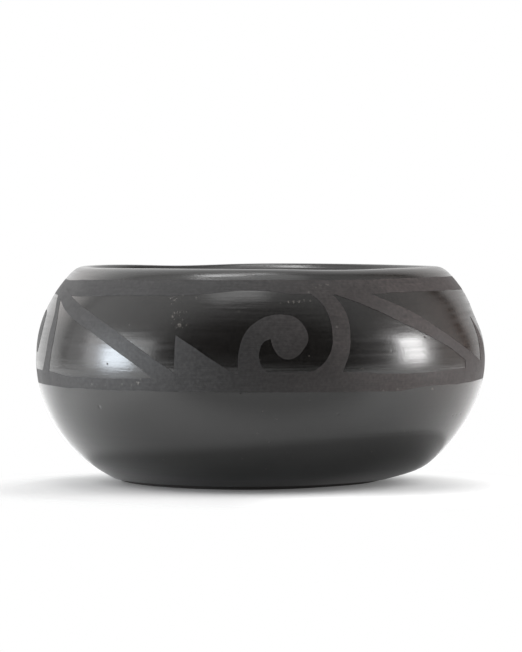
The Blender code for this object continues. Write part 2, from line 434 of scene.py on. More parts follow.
def spots(*places: tuple[float, float, float]) -> tuple[SurfaceSpot, ...]:
    """Marks of wear from azimuths in degrees, and heights and radii in millimetres."""
    return tuple(SurfaceSpot(azimuth, height_mm * MM, radius_mm * MM) for azimuth, height_mm, radius_mm in places)


CHIPS = spots(
    *((-24.6, 97.0, 0.8), (-23.8, 97.9, 0.6), (-23.4, 96.2, 0.9), (-21.3, 98.4, 0.6), (-17.4, 97.2, 0.7)),
    *((-22.7, 89.9, 0.7), (-21.9, 90.1, 0.7), (-21.1, 90.2, 0.7), (-20.1, 90.4, 0.6), (-19.2, 90.5, 0.6)),
    *((-22.9, 88.1, 0.9), (-20.8, 84.1, 1.2), (-21.3, 82.9, 0.7), (-20.0, 86.5, 0.6), (-5.4, 90.8, 0.5)),
    *((5.4, 94.8, 0.6), (7.6, 95.4, 0.8), (8.9, 95.5, 0.9), (10.3, 95.6, 0.9), (11.8, 96.3, 0.8)),
    *((13.4, 96.1, 0.7), (15.7, 102.4, 0.6), (17.3, 103.5, 0.8), (19.3, 103.7, 0.8), (13.2, 100.0, 0.8)),
    *((19.6, 83.0, 0.7), (-31.5, 55.3, 1.2), (-30.7, 56.8, 0.7), (-30.2, 62.0, 0.7), (-46.8, 53.7, 0.9)),
    *((-45.6, 52.5, 0.6), (-42.0, 54.0, 0.6), (-36.5, 54.0, 0.7), (-33.7, 54.2, 0.6), (48.8, 51.3, 1.1)),
    *((31.6, 54.6, 0.6), (32.2, 51.5, 0.8), (36.5, 51.9, 0.8), (25.7, 62.5, 0.8), (20.8, 54.2, 0.6)),
    *((4.1, 38.1, 0.7), (-0.8, 30.8, 0.6), (12.0, 32.4, 0.6)),
)


class FinishNodes(Nodes):
    """The nodes of a finish, with the patterns that several finishes share."""

    ragged_mm = 0.7
    ragged_shift = 0.0030
    grit_shades = (0.68, 1.32)

    def largest(self, marks: tuple[SurfaceSpot, ...], place: Source) -> Source:
        """Add the largest of several marks' masks."""
        return self.fold("MAXIMUM", *(mark.add_mask(self, place) for mark in marks))

    def chips(self) -> Source:
        """Add the mask of the single chips, in coordinates that a fine noise makes ragged.

        Returns:
            The mask.
        """
        fine = self.add("TexNoise", self.place, 1000 / self.ragged_mm, Detail=2.0)
        centred = self.add("VectorMath", fine.outputs["Color"], (0.5, 0.5, 0.5), operation="SUBTRACT")
        shift = self.add("VectorMath", centred, self.ragged_shift, operation="SCALE")
        return self.largest(CHIPS, self.add("VectorMath", self.place, shift, operation="ADD"))

    def grain(self, colour: Source, size_mm: float) -> Source:
        """Mottle a colour with the clay's grit, drawn coarser than it is so that it shows from a metre.

        Args:
            colour: the even colour.
            size_mm: how large the drawn grains are.

        Returns:
            The mottled colour.
        """
        grit = self.add("TexNoise", self.place, 1000 / size_mm, Detail=2.0)
        shade = self.add("MapRange", grit, *NOISE_SPAN, *self.grit_shades)
        return self.add("VectorMath", colour, shade, operation="SCALE")

    def streaks(self, length_mm: float, width_mm: float, detail: float) -> Source:
        """Add level streaks, as a stone, a brush or a scraper leaves them.

        Args:
            length_mm: how long they are.
            width_mm: how far apart they lie.
            detail: how finely they break up.

        Returns:
            The pattern.
        """
        scale = (1000 / length_mm,) * 2 + (1000 / width_mm,)
        along = self.add("Mapping", self.place, Scale=scale)
        return self.add("TexNoise", along, 1.0, Detail=detail, Roughness=0.6)


@dataclass(frozen=True)
class Finish:
    """A surface of the bowl. Each kind says what its shader shows."""

    name: str = "finish"
    refraction: float = 1.50

    def shown(self, nodes: FinishNodes) -> dict[str, Source]:
        """Add the finish's patterns, and say which input of the shader shows which."""
        raise NotImplementedError

    def material(self) -> Material:
        """Build the finish.

        Returns:
            The material, ready to be given to a piece.
        """
        finish = bpy.data.materials.new(self.name)
        nodes = FinishNodes(finish)
        shader = nodes.add("BsdfPrincipled", IOR=self.refraction, **self.shown(nodes))
        nodes.add("OutputMaterial", shader)
        return finish


@dataclass(frozen=True)
class BurnishedSlip(Finish):
    """Iron-rich slip, rubbed with a smooth stone while leather-hard and smoked black in the fire.

    The stone lays the clay's plates flat, so the near-black skin mirrors the room softly. Its
    level strokes show as fine streaks in a reflection, and smoke that thinned out leaves brown.
    """

    name: str = "stone_burnished_slip"
    refraction: float = 1.54
    black_hex: str = "#141312"
    brown_hex: str = "#271d18"
    satin_hex: str = "#131312"
    chip_hex: str = "#605c58"
    polish: Pair = (0.13, 0.27)
    satin: float = 0.12
    satin_below: float = 0.0525
    stroke_mm: Pair = (46.0, 1.9)
    track_depth: float = 0.00006
    cloud_mm: float = 70.0
    cloud_span: Pair = (0.30, 0.60)
    thinnest_cloud: float = 0.25
    chip_mm: float = 1.5
    chip_edge: Pair = (0.10, 0.28)
    sound_and_worn: Pair = (0.992, 0.25)
    fine_chip_share: float = 0.45
    grain_mm: float = 1.5
    grain_depth: float = 0.00003
    pit_depth: float = 0.0003
    worn: tuple[SurfaceSpot, ...] = spots((-23.2, 97, 5), (-21.4, 90.2, 4), (-20.8, 84.2, 5), (16, 102, 5))
    pits: tuple[SurfaceSpot, ...] = spots(
        *((-45.7, 42.4, 1.6), (-40.9, 64.2, 0.7), (20.3, 40.3, 1.0), (12.5, 47.0, 0.8), (34.4, 70.9, 0.6)),
        *((62.8, 36.8, 0.9), (65.0, 37.0, 1.0), (67.9, 37.1, 0.9), (46.0, 77.3, 0.7), (-4.7, 51.3, 0.8)),
    )
    brown_spots: tuple[SurfaceSpot, ...] = spots((-66, 100, 30), (70, 95, 90), (80, 50, 60), (84, 24, 20))

    def shown(self, nodes: FinishNodes) -> dict[str, Source]:
        """Add the polish, and the satin part under the painting, which was rubbed less.

        Args:
            nodes: the finish's nodes.

        Returns:
            The shader's inputs.
        """
        strokes = nodes.streaks(*self.stroke_mm, detail=3.0)
        height = nodes.add("SeparateXYZ", nodes.place).outputs["Z"]
        low = nodes.add("MapRange", height, self.satin_below - MM, self.satin_below + MM, 1.0, 0.0)
        rubbed = nodes.add("MapRange", strokes, *NOISE_SPAN, *self.polish)
        return {
            "Base Color": self.add_wear(nodes, self.add_skin(nodes, low)),
            "Roughness": nodes.add("MapRange", low, 0.0, 1.0, rubbed, self.satin),
            "Normal": self.add_relief(nodes, strokes),
        }

    def add_skin(self, nodes: FinishNodes, low: Source) -> Source:
        """Add the slip's colour: black, with brown clouds where the smoke was thin.

        Args:
            nodes: the finish's nodes.
            low: the mask of the satin part.

        Returns:
            The colour.
        """
        cloud = nodes.add("TexNoise", nodes.place, 1000 / self.cloud_mm, Detail=2.0, Roughness=0.5)
        thin_smoke = nodes.add("MapRange", cloud, *self.cloud_span, self.thinnest_cloud)
        brown = nodes.fold("MULTIPLY", nodes.largest(self.brown_spots, nodes.place), thin_smoke)
        skin = nodes.add("Mix", low, linear(self.black_hex), linear(self.satin_hex), **COLOURS)
        whole = nodes.add("Mix", brown, skin, linear(self.brown_hex), **COLOURS)
        return nodes.grain(whole, self.grain_mm)

    def add_wear(self, nodes: FinishNodes, skin: Source) -> Source:
        """Add the pale specks where the slip has flaked: single ones, and fine ones where it is worn.

        Args:
            nodes: the finish's nodes.
            skin: the colour of the whole slip.

        Returns:
            The colour with the specks in it.
        """
        cells = nodes.add("TexVoronoi", nodes.place, 1000 / self.chip_mm)
        speck = nodes.add("MapRange", cells, *self.chip_edge, 1.0, 0.0)
        lot = nodes.add("SeparateColor", cells.outputs["Color"])
        worn = nodes.largest(self.worn, nodes.place)
        chance = nodes.add("MapRange", worn, 0.0, 1.0, *self.sound_and_worn)
        chosen = nodes.add("Math", lot, chance, operation="GREATER_THAN")
        fine = nodes.fold("MULTIPLY", speck, chosen, self.fine_chip_share)
        flaked = nodes.fold("MAXIMUM", fine, nodes.chips())
        return nodes.add("Mix", flaked, skin, linear(self.chip_hex), **COLOURS)

    def add_relief(self, nodes: FinishNodes, strokes: Source) -> Source:
        """Add the stone's shallow tracks, the grit and the pits.

        Args:
            nodes: the finish's nodes.
            strokes: the pattern of the stone's strokes.

        Returns:
            The bent normal.
        """
        tracks = nodes.add("Bump", Height=strokes, Distance=self.track_depth)
        grit = nodes.add("TexNoise", nodes.place, 1000 / self.grain_mm, Detail=2.0)
        grained = nodes.add("Bump", Height=grit, Distance=self.grain_depth, Normal=tracks)
        dents = nodes.largest(self.pits, nodes.place)
        return nodes.add("Bump", Height=dents, Distance=self.pit_depth, Normal=grained, invert=True)


@dataclass(frozen=True)
class MatteSlip(Finish):
    """Thin slip brushed over the polish and never rubbed, so it fires to a dry dark grey.

    The brush leaves faint drags along the bowl's girth, and the coat is unevenly thick.
    """

    name: str = "brushed_matte_slip"
    grey_hex: str = "#242323"
    warm_hex: str = "#292322"
    warm_span: Pair = (-0.030, 0.105)
    chip_hex: str = "#66625e"
    gloss_level: float = 0.36
    dryness: Pair = (0.50, 0.68)
    drag_mm: Pair = (16.0, 0.7)
    drag_depth: float = 0.00007
    patch_mm: float = 22.0
    coat_span: Pair = (0.12, 0.40)
    coat_shades: Pair = (0.76, 1.26)
    grain_mm: float = 1.7

    def shown(self, nodes: FinishNodes) -> dict[str, Source]:
        """Add the dry grey, which is warmer towards the right.

        Args:
            nodes: the finish's nodes.

        Returns:
            The shader's inputs.
        """
        bristles = nodes.streaks(*self.drag_mm, detail=3.0)
        patches = nodes.add("TexNoise", nodes.place, 1000 / self.patch_mm, Detail=3.0, Roughness=0.55)
        across = nodes.add("SeparateXYZ", nodes.place).outputs["X"]
        warm = nodes.add("MapRange", across, *self.warm_span, **SMOOTH)
        ground = nodes.add("Mix", warm, linear(self.grey_hex), linear(self.warm_hex), **COLOURS)
        coat = nodes.fold("MULTIPLY", bristles, patches)
        shade = nodes.add("MapRange", coat, *self.coat_span, *self.coat_shades)
        colour = nodes.grain(nodes.add("VectorMath", ground, shade, operation="SCALE"), self.grain_mm)
        return {
            "Base Color": nodes.add("Mix", nodes.chips(), colour, linear(self.chip_hex), **COLOURS),
            "Roughness": nodes.add("MapRange", patches, *NOISE_SPAN, *self.dryness),
            "Specular IOR Level": self.gloss_level,
            "Normal": nodes.add("Bump", Height=bristles, Distance=self.drag_depth),
        }


@dataclass(frozen=True)
class SmokedClay(Finish):
    """Earthenware with fine sand in it, scraped while damp and blackened by smoke.

    The eye sees a dry, soft black-brown with level scraping lines and pin-point grains of temper.
    """

    name: str = "smoked_earthenware"
    dark_hex: str = "#2a2725"
    light_hex: str = "#3d3733"
    patch_mm: float = 28.0
    dryness: Pair = (0.62, 0.82)
    scrape_mm: Pair = (30.0, 1.4)
    scrape_depth: float = 0.00018
    grain_hex: str = "#756c62"
    grain_mm: float = 1.1
    grain_edge: Pair = (0.06, 0.16)
    grain_share: float = 0.5
    grain_depth: float = 0.00008
    grain_relief: float = 0.6

    def shown(self, nodes: FinishNodes) -> dict[str, Source]:
        """Add the scraped, smoked clay.

        Args:
            nodes: the finish's nodes.

        Returns:
            The shader's inputs.
        """
        scraping = nodes.streaks(*self.scrape_mm, detail=4.0)
        patches = nodes.add("TexNoise", nodes.place, 1000 / self.patch_mm, Detail=4.0, Roughness=0.6)
        grains = nodes.add("TexVoronoi", nodes.place, 1000 / self.grain_mm)
        smoke = nodes.add("MapRange", patches, *NOISE_SPAN)
        ground = nodes.add("Mix", smoke, linear(self.dark_hex), linear(self.light_hex), **COLOURS)
        grain = nodes.add("MapRange", grains, *self.grain_edge, self.grain_share, 0.0)
        lines = nodes.add("Bump", Height=scraping, Distance=self.scrape_depth)
        return {
            "Base Color": nodes.add("Mix", grain, ground, linear(self.grain_hex), **COLOURS),
            "Roughness": nodes.add("MapRange", scraping, *NOISE_SPAN, *self.dryness),
            "Normal": nodes.add("Bump", self.grain_relief, self.grain_depth, Height=grains, Normal=lines),
        }


class Slot(Enum):
    """The record's material slots."""

    CLAY = "smoked_clay"
    SLIP = "burnished_slip"
    PAINT = "matte_slip"


# Round pieces


def stand_in_for(piece: Item, node: str, slot: Slot, finish: Material) -> None:
    """Smooth and dress a finished piece and put it in its CAD node's place.

    Args:
        piece: the finished piece.
        node: the CAD node it stands for.
        slot: the record's material slot; not used.
        finish: its material.
    """
    select_only(piece)
    bpy.ops.object.shade_smooth_by_angle(angle=math.radians(CREASE_DEG))
    piece.data.materials.clear()
    piece.data.materials.append(finish)
    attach(piece, "root")
    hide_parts(node)
    log.info("%s: %d faces, stands for %s", piece.name, len(piece.data.polygons), node)


def raise_rings(name: str, rows: list[Vector], segments: int, floor: bool) -> Item:
    """Raise a round form from a circle, ring by ring, as a potter raises coils.

    Args:
        name: the piece's name.
        rows: the profile as radius and height, the last at radius 0 where the form closes.
        segments: points in each ring.
        floor: whether the first ring is filled.

    Returns:
        The new object, with its faces turned outwards.
    """
    bpy.ops.object.select_all(action="DESELECT")
    bpy.ops.mesh.primitive_circle_add(
        vertices=segments,
        radius=rows[0].x,
        fill_type="TRIFAN" if floor else "NOTHING",
        location=(0, 0, rows[0].y),
    )
    item = bpy.context.object
    item.name = item.data.name = name
    bpy.ops.object.transform_apply(location=True, rotation=False, scale=False)
    for vertex in item.data.vertices:
        vertex.select = math.hypot(vertex.co.x, vertex.co.y) > rows[0].x / 2
    for edge in item.data.edges:
        edge.select = all(item.data.vertices[index].select for index in edge.vertices)
    for face in item.data.polygons:
        face.select = False
    with edit_mode(item):
        bpy.ops.mesh.select_mode(type="EDGE")
        for before, after in zip(rows, rows[1:]):
            closing = after.x == 0
            size = POLE_SIZE if closing else after.x / before.x
            lift = {"value": (0, 0, after.y - before.y)}
            bpy.ops.mesh.extrude_region_move(TRANSFORM_OT_translate=lift)
            bpy.ops.transform.resize(value=(size, size, 1), center_override=(0, 0, after.y))
            if closing:
                bpy.ops.mesh.merge(type="CENTER")
        bpy.ops.mesh.select_all(action="SELECT")
        bpy.ops.mesh.normals_make_consistent(inside=False)
    return item


@dataclass
class ClayBody:
    """The fired body: a flat floor and foot, a round belly and a rounded lip."""

    wall: Wall
    finish: Material
    node: str = "clay_body"
    segments: int = 240
    slip_cover: float = 0.0004
    wall_thickness: float = 0.0066
    floor_thickness: float = 0.0075
    floor_corner_rise: float = 0.0090
    foot_edge_round: float = 0.0065
    slip_end_height: float = 0.0026
    floor_shares: tuple[float, ...] = (0.25, 0.5, 0.75, 1.0)
    corner_steps: int = 8
    wall_steps: int = 16
    basin_steps: int = 24
    foot_steps: int = 5

    def rows(self) -> list[Vector]:
        """Draw the profile from the floor's middle over the lip to the foot's middle.

        Returns:
            Its points as radius and height.
        """
        wall, cover = self.wall, self.slip_cover
        inset, steps = self.wall_thickness, self.wall_steps
        rim = wall.rim_height - cover
        corner_top = wall.rows(self.floor_thickness + self.floor_corner_rise, wall.belly_height, 1, inset)[0]
        corner = wall.tangent_corner(corner_top, self.floor_thickness, inset)
        corner_start = Vector((corner.x - (corner_top - corner).length, self.floor_thickness))
        floor = [Vector((corner_start.x * share, self.floor_thickness)) for share in self.floor_shares]
        basin_inside = wall.rows(corner_top.y, wall.belly_height, steps, inset)
        shoulder_inside = wall.swollen(wall.rows(wall.belly_height, rim - wall.lip_inner_height, steps, inset))
        shoulder = wall.rows(rim - wall.lip_outer_height, wall.belly_height, steps, cover)
        basin = wall.rows(wall.belly_height, self.slip_end_height, self.basin_steps, cover)
        foot_corner = wall.tangent_corner(basin[-1], 0, cover)
        foot_end = Vector((foot_corner.x - self.foot_edge_round, 0))
        return joined(
            floor,
            rounded(corner_start, corner, corner_top, self.corner_steps),
            basin_inside,
            shoulder_inside,
            wall.lip(shoulder_inside[-1], shoulder[0], inset, cover),
            shoulder,
            basin,
            rounded(basin[-1], foot_corner, foot_end, self.foot_steps),
            [foot_end, Vector((foot_end.x / 2, 0)), Vector((0, 0))],
        )

    def build(self) -> None:
        """Raise the body from its floor, shape it and dress it."""
        body = raise_rings("coil_built_body", self.rows(), self.segments, floor=True)
        for vertex in body.data.vertices:
            vertex.co = self.wall.shaped(vertex.co)
        stand_in_for(body, self.node, Slot.CLAY, self.finish)


@dataclass
class BurnishedSkin:
    """The polished slip: down the inside of the rim, over the lip and down to the foot."""

    wall: Wall
    finish: Material
    node: str = "burnished_slip_coat"
    segments: int = 288
    thickness: float = 0.0003
    inset_inside: float = 0.0074
    start_inside: float = 0.0882
    end_height: float = 0.0022
    inside_steps: int = 9
    shoulder_steps: int = 24
    basin_steps: int = 32

    def rows(self) -> list[Vector]:
        """Draw the profile from inside the rim over the lip to just above the foot.

        Returns:
            Its points as radius and height.
        """
        wall, inset = self.wall, self.inset_inside
        rim = wall.rim_height
        inside = wall.swollen(wall.rows(self.start_inside, rim - wall.lip_inner_height, self.inside_steps, inset))
        shoulder = wall.rows(rim - wall.lip_outer_height, wall.belly_height, self.shoulder_steps)
        basin = wall.rows(wall.belly_height, self.end_height, self.basin_steps)
        return joined(inside, wall.lip(inside[-1], shoulder[0], inset, 0.0), shoulder, basin)

    def build(self) -> None:
        """Raise the skin, shape it with the body, give it its thickness and dress it."""
        skin = raise_rings("stone_burnished_skin", self.rows(), self.segments, floor=False)
        for vertex in skin.data.vertices:
            vertex.co = self.wall.shaped(vertex.co)
        thicken(skin, thickness=self.thickness, offset=-1.0, use_even_offset=True)
        stand_in_for(skin, self.node, Slot.SLIP, self.finish)


# Painting


class Layer(Enum):
    """The order in which the brush laid the matte slip, lowest first."""

    BORDER = 0
    SCROLL = 1
    TRIANGLE = 2
    DIAGONAL = 3


@dataclass(frozen=True)
class Brush:
    """How the matte slip lies on the polish."""

    wall: Wall
    finish: Material
    lift: float = 0.00003
    film: float = 0.00002
    layer_step: float = 0.00003
    waver: float = 0.00030
    waver_length: float = 0.013
    fray: float = 0.00009
    fray_length: float = 0.0022

    def unsteady(self, place: Vector) -> Vector:
        """Move a point of a flat drawing as an unsteady hand and split bristles would.

        Args:
            place: the point. Its third number sets one drawing's waver off from another's.

        Returns:
            The moved point.
        """
        slow = noise.noise_vector(place / self.waver_length) * self.waver
        quick = noise.noise_vector(place / self.fray_length) * self.fray
        return Vector((place.x + slow.x + quick.x, place.y + slow.y + quick.y, place.z))

    def laid(self, azimuth_deg: float, height: float, layer: Layer) -> Vector:
        """A point of a layer's underside, just off the polished wall."""
        return self.wall.laid(azimuth_deg, height, self.lift + layer.value * self.layer_step)

    def dry(self, sheet: Item, node: str) -> None:
        """Thicken a laid sheet into a film of slip, and dress it."""
        thicken(sheet, thickness=self.film, offset=1.0)
        stand_in_for(sheet, node, Slot.PAINT, self.finish)


def edge_height(places: tuple[Pair, ...], azimuth_deg: float) -> float:
    """The height of a border's edge, in a smooth line through its places.

    Args:
        places: azimuths in degrees and heights in millimetres, in order right round the bowl.
        azimuth_deg: azimuth from the front.

    Returns:
        The height there, in metres.
    """
    turns = [(azimuth_deg - place[0]) % 360 for place in places]
    index = turns.index(min(turns))
    azimuths, heights = zip(*(places[(index + step) % len(places)] for step in (-1, 0, 1, 2)))
    before, start, end, after = (height * MM for height in heights)
    lead, span, trail = ((ahead - behind) % 360 for behind, ahead in zip(azimuths, azimuths[1:]))
    leaving = (end - before) / (lead + span) * span
    arriving = (after - start) / (span + trail) * span
    t = turns[index] / span
    rest = 1 - t
    run = start * (1 + 2 * t) * rest * rest + leaving * t * rest * rest
    return run + end * (3 - 2 * t) * t * t - arriving * rest * t * t


@dataclass
class PaintedBorder:
    """A line of matte slip that runs right round the bowl, its edges drawn by eye.

    The hand's waver fades out at the back, where the line closes.
    """

    brush: Brush
    kind: str
    lower_edge: tuple[Pair, ...]
    upper_edge: tuple[Pair, ...]
    segments: int = 288
    steps: int = 6
    closing_power: int = 24

    def build(self) -> None:
        """Raise a plain band, lay it between its edges on the wall, thicken it and dress it."""
        belly_radius = self.brush.wall.belly_radius
        band = [Vector((belly_radius, step / self.steps)) for step in range(self.steps + 1)]
        line = raise_rings(f"painted_{self.kind}", band, self.segments, floor=False)
        for vertex in line.data.vertices:
            azimuth_deg = math.degrees(math.atan2(vertex.co.x, -vertex.co.y))
            low = edge_height(self.lower_edge, azimuth_deg)
            high = edge_height(self.upper_edge, azimuth_deg)
            flat = Vector((math.radians(azimuth_deg) * belly_radius, low + (high - low) * vertex.co.z, self.steps))
            open_share = 1 - abs(azimuth_deg / 180) ** self.closing_power
            height = flat.y + (self.brush.unsteady(flat).y - flat.y) * open_share
            vertex.co = self.brush.laid(azimuth_deg, height, Layer.BORDER)
        self.brush.dry(line, f"matte_{self.kind}")


class Bend(Enum):
    """How the brush's outline passes a knot, as the curve's handle type."""

    SHARP = "VECTOR"
    SOFT = "AUTO"


@dataclass(frozen=True)
class Knot:
    """A point of a figure's outline, in thousandths of its unit's span and of the field's height."""

    along: float
    up: float
    bend: Bend = Bend.SOFT


def soft(*places: Pair) -> tuple[Knot, ...]:
    """Knots that the outline passes in a smooth curve."""
    return tuple(Knot(along, up) for along, up in places)


def sharp(*places: Pair) -> tuple[Knot, ...]:
    """Knots at which the outline turns a corner."""
    return tuple(Knot(along, up, Bend.SHARP) for along, up in places)


TRIANGLE = sharp((0, -60), (182, -60), (167, 0), (0, 510))

HOOK = (
    sharp((167, -60))
    + soft((167, 265), (182, 530), (213, 682), (247, 750), (286, 761), (318, 713), (337, 606))
    + soft((344, 471), (331, 335), (310, 235), (290, 210), (270, 249), (255, 345))
    + sharp((247, 463))
    + soft((231, 425), (220, 320))
)

SCROLL = (
    HOOK
    + soft((220, 201), (230, 95), (250, 44), (300, 38))
    + soft((346, 44), (374, 119), (395, 236), (406, 372), (409, 526), (407, 700))
    + soft((396, 856), (378, 965))
    + sharp((352, 1060), (415, 1060))
    + soft((434, 975), (452, 834), (459, 678), (458, 505), (452, 289), (441, 133))
    + sharp((424, -60))
)

DIAGONAL = (
    sharp((410, 1060))
    + soft((438, 1003), (503, 901), (570, 766), (641, 610), (729, 437), (790, 320))
    + sharp((872, 142), (874, -60), (1003, -60), (1003, 110))
    + soft((938, 202), (849, 350), (763, 547), (682, 751), (608, 895), (560, 985))
    + sharp((530, 1060))
)

SIDE_SHIFT = 12
SIDE_SCROLL = (
    tuple(replace(knot, along=knot.along + SIDE_SHIFT) for knot in HOOK)
    + soft((232, 180), (245, 60), (270, -15))
    + sharp((398, -30))
    + soft((433, 128), (448, 286), (452, 450), (451, 630), (438, 755), (396, 898))
    + sharp((330, 1060), (370, 1060))
    + soft((436, 902), (466, 770), (486, 650), (494, 520), (496, 395), (491, 292))
    + soft((483, 136))
    + sharp((466, -60))
)

SIDE_DIAGONAL = (
    sharp((335, 1060))
    + soft((385, 980), (457, 878), (565, 716), (672, 562), (785, 345), (883, 105))
    + sharp((940, -60), (1003, -60), (1003, 25))
    + soft((951, 167), (892, 319), (786, 567), (697, 723), (596, 862), (506, 966))
    + sharp((425, 1060))
)


@dataclass
class PatternUnit:
    """A triangle, a hooked scroll with its arc, and the broad diagonal that runs on to the next."""

    brush: Brush
    number: int
    start_deg: float
    span_deg: float
    triangle: tuple[Knot, ...] = TRIANGLE
    scroll: tuple[Knot, ...] = SCROLL
    diagonal: tuple[Knot, ...] = DIAGONAL
    bottom: float = 0.0593
    top: float = 0.0985
    cut_spacing: float = 0.003
    curve_steps: int = 14
    weld: float = 0.00001
    layer_seed: float = 0.1

    def flat_shape(self, name: str, knots: tuple[Knot, ...]) -> Item:
        """Draw a figure flat, in metres round the belly and up, with cuts where it is to bend.

        Args:
            name: the piece's name.
            knots: the figure's outline.

        Returns:
            A flat mesh object.
        """
        bpy.ops.object.select_all(action="DESELECT")
        bpy.ops.curve.primitive_bezier_circle_add(radius=0.01)
        item = bpy.context.object
        item.name = name
        item.data.dimensions = "2D"
        item.data.fill_mode = "BOTH"
        item.data.resolution_u = self.curve_steps
        spline = item.data.splines[0]
        spline.bezier_points.add(len(knots) - len(spline.bezier_points))
        for point, knot in zip(spline.bezier_points, knots):
            azimuth = math.radians(self.start_deg + knot.along / 1000 * self.span_deg)
            height = self.bottom + knot.up / 1000 * (self.top - self.bottom)
            point.co = (azimuth * self.brush.wall.belly_radius, height, 0)
            point.handle_left_type = point.handle_right_type = knot.bend.value
        select_only(item)
        bpy.ops.object.convert(target="MESH")
        item = bpy.context.object
        item.data.name = name
        rights, ups, _ = zip(*(vertex.co for vertex in item.data.vertices))
        with edit_mode(item):
            bpy.ops.mesh.select_all(action="SELECT")
            bpy.ops.mesh.remove_doubles(threshold=self.weld)
            for places, across in ((rights, Vector((1, 0, 0))), (ups, Vector((0, 1, 0)))):
                low = min(places)
                for step in range(1, math.ceil((max(places) - low) / self.cut_spacing)):
                    bpy.ops.mesh.select_all(action="SELECT")
                    bpy.ops.mesh.bisect(plane_co=across * (low + step * self.cut_spacing), plane_no=across)
        return item

    def build(self) -> None:
        """Draw each of the unit's three figures, lay it on the wall, thicken it and dress it."""
        for layer in (Layer.SCROLL, Layer.TRIANGLE, Layer.DIAGONAL):
            figure_name = layer.name.lower()
            kind = f"{figure_name}_{self.number}"
            figure = self.flat_shape(f"painted_{kind}", getattr(self, figure_name))
            for vertex in figure.data.vertices:
                seed = self.number + self.layer_seed * layer.value
                flat = self.brush.unsteady(Vector((vertex.co.x, vertex.co.y, seed)))
                azimuth_deg = math.degrees(flat.x / self.brush.wall.belly_radius)
                vertex.co = self.brush.laid(azimuth_deg, flat.y, layer)
            self.brush.dry(figure, f"matte_{kind}")


@dataclass
class Painting:
    """The two borders and the four units between them."""

    brush: Brush

    def build(self) -> None:
        """Seed the hand's waver and paint the borders, then each unit."""
        noise.seed_set(HAND_SEED)
        for part in (*self.borders(), *self.units()):
            part.build()

    def borders(self) -> tuple[PaintedBorder, ...]:
        """Plan the borders.

        Returns:
            The border under the rim and the one round the belly.
        """
        upper_edges = (
            ((-170, 98.3), (-64, 97.0), (-38, 98.0), (-20, 98.5), (-11, 99.9), (-4, 101.0), (2, 100.6))
            + ((9, 99.2), (30, 99.1), (42, 99.6), (75, 99.7), (130, 99.2)),
            ((-170, 105.7), (-76, 104.8), (-60, 105.3), (-37, 105.7), (30, 106.3), (60, 106.4), (130, 106.0)),
        )
        lower_edges = (
            ((-170, 52.0), (-76, 51.7), (-56, 51.3), (0, 51.4), (30, 51.0), (37, 51.1))
            + ((46, 52.7), (54, 53.2), (62, 53.0), (76, 54.0), (130, 53.0)),
            ((-170, 58.8), (-68, 58.8), (-57, 57.4), (-45, 57.0), (-32, 57.4), (-2, 60.7), (20, 61.1))
            + ((34, 59.7), (45, 59.5), (55, 60.7), (80, 60.6), (130, 59.0)),
        )
        return (
            PaintedBorder(self.brush, "border_upper", *upper_edges),
            PaintedBorder(self.brush, "border_lower", *lower_edges),
        )

    def units(self) -> tuple[PatternUnit, ...]:
        """Plan the units.

        Returns:
            The front unit, then those met going round by the right.
        """
        span_deg = 87.67
        right_triangle = sharp((0, -60), (170, -60), (155, 0), (0, 690))
        return (
            PatternUnit(self.brush, 1, -21.4, 97.0),
            PatternUnit(self.brush, 2, 75.6, span_deg, triangle=right_triangle),
            PatternUnit(self.brush, 3, 163.27, span_deg),
            PatternUnit(self.brush, 4, -109.07, span_deg, scroll=SIDE_SCROLL, diagonal=SIDE_DIAGONAL),
        )


# Studio


@dataclass(frozen=True)
class Softbox:
    """A lamp behind a flat diffuser. One that hangs high faces straight down."""

    name: str
    azimuth_deg: float
    elevation_deg: float
    distance: float
    width: float
    height: float
    brightness: float
    mirrored: bool = True
    colour_hex: str = "#ffffff"
    high_deg: float = 60.0

    def build(self, aim: Vector) -> None:
        """Hang the lamp round the bowl.

        Args:
            aim: the point it hangs round, and faces.
        """
        azimuth, elevation = math.radians(self.azimuth_deg), math.radians(self.elevation_deg)
        level = Vector((math.sin(azimuth), -math.cos(azimuth), 0)) * math.cos(elevation)
        away = level + Vector((0, 0, math.sin(elevation)))
        bpy.ops.object.light_add(type="AREA", location=aim + away * self.distance)
        lamp = bpy.context.object
        lamp.name = lamp.data.name = self.name
        lamp.data.shape = "RECTANGLE"
        lamp.data.size = self.width
        lamp.data.size_y = self.height
        lamp.data.color = linear(self.colour_hex)[:3]
        lamp.data.energy = self.brightness * math.pi * self.width * self.height
        if self.elevation_deg < self.high_deg:
            lamp.rotation_euler = away.to_track_quat("Z", "Y").to_euler()
        lamp.visible_camera = False
        lamp.visible_glossy = self.mirrored


@dataclass(frozen=True)
class FloorShade:
    """A painted shadow or painted pool of light: a soft round place in the table top's colour, as the bowl mirrors
    it, that is darker or lighter.
    """

    middle: Pair
    inner: float
    outer: float
    share: float

    def add_mask(self, nodes: Nodes) -> Source:
        """Add what is the shade's share inside its place, and 1 outside it."""
        away = nodes.add("VectorMath", nodes.place, (*self.middle, 0.0), operation="DISTANCE")
        return nodes.add("MapRange", away, self.inner, self.outer, self.share, **SMOOTH)


@dataclass(frozen=True)
class Ramp:
    """How bright the room is from place to place, with a straight run between its stops."""

    stops: tuple[Pair, ...]
    top: float = 1.5

    def add(self, nodes: Nodes, value: Source) -> Source:
        """Add the ramp.

        Args:
            nodes: the world's nodes.
            value: where the ramp is read.

        Returns:
            The brightness.
        """
        first, last = self.stops[0][0], self.stops[-1][0]
        ramp = nodes.add("ValToRGB", nodes.add("MapRange", value, first, last))
        elements = ramp.color_ramp.elements
        for place, _ in self.stops[2:]:
            elements.new((place - first) / (last - first))
        for element, (place, brightness) in zip(elements, self.stops):
            element.position = (place - first) / (last - first)
            element.color = (brightness / self.top,) * 3 + (1.0,)
        return nodes.add("Math", ramp, self.top, operation="MULTIPLY")


